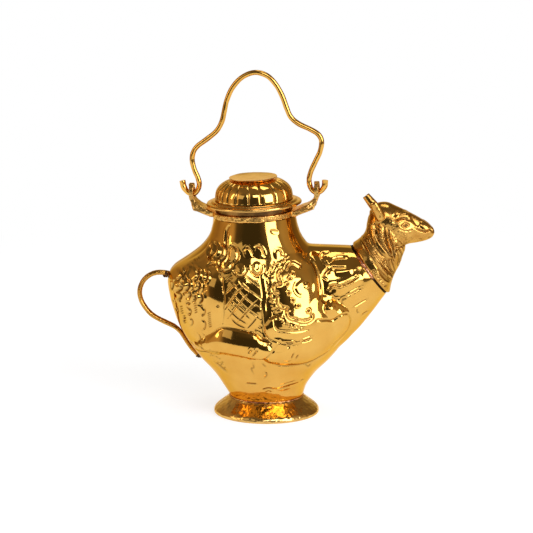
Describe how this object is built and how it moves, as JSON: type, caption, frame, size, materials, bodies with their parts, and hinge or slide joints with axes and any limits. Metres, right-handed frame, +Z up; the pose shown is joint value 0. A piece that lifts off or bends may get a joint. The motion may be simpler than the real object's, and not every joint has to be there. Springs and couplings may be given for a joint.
{
  "type": "spouted water pot",
  "caption": "Brass water pot in the form of a seated cow on a foot ring, pouring through the cow's mouth, with a domed lift-off lid, a wire bail and a looped tail handle.",
  "frame": {"origin": "under the middle of the whole object, on the surface that it stands on", "axes": "+X the way the cow faces and pours, +Y the cow's left side, +Z up"},
  "size_m": [0.2072, 0.0982, 0.2427],
  "materials": {
    "raised_brass": "polished, raised and chased sheet with darker recesses",
    "spun_brass": "polished, with fine turning and brushing lines",
    "cast_brass": "sand-cast, rough on the edges, filed and polished on the faces",
    "wire_brass": "drawn and polished, with hammer and tool marks",
    "copper_braze": "coppery braze filler, uneven",
    "dark_braze": "blackened braze, rough"
  },
  "bodies": {
    "pot": {"body_near_half": "raised_brass", "body_far_half": "raised_brass", "body_floor": "raised_brass", "foot_ring": "raised_brass", "foot_braze": "copper_braze", "tail_handle": "wire_brass", "tail_top_braze": "dark_braze", "tail_foot_braze": "dark_braze", "head_casting": "cast_brass", "head_braze": "copper_braze", "mouth_plate": "cast_brass", "mouth_sleeve": "spun_brass"},
    "lid": {"lid_flange": "spun_brass", "lid_dome": "spun_brass", "lid_saucer": "spun_brass", "lid_plug": "spun_brass"},
    "bail": {"bail_wire": "wire_brass"}
  },
  "joints": [
    {"name": "lid_lift", "type": "slide", "parent": "pot", "child": "lid", "axis": [-0.0384, 0, 0.9993], "range_m": [0, 0.034]},
    {"name": "bail_swing", "type": "hinge", "parent": "pot", "child": "bail", "pos_m": [-0.02258, 0, 0.15614], "axis": [0.9895, -0.1392, 0.038], "range_deg": [-115, 115]}
  ]
}
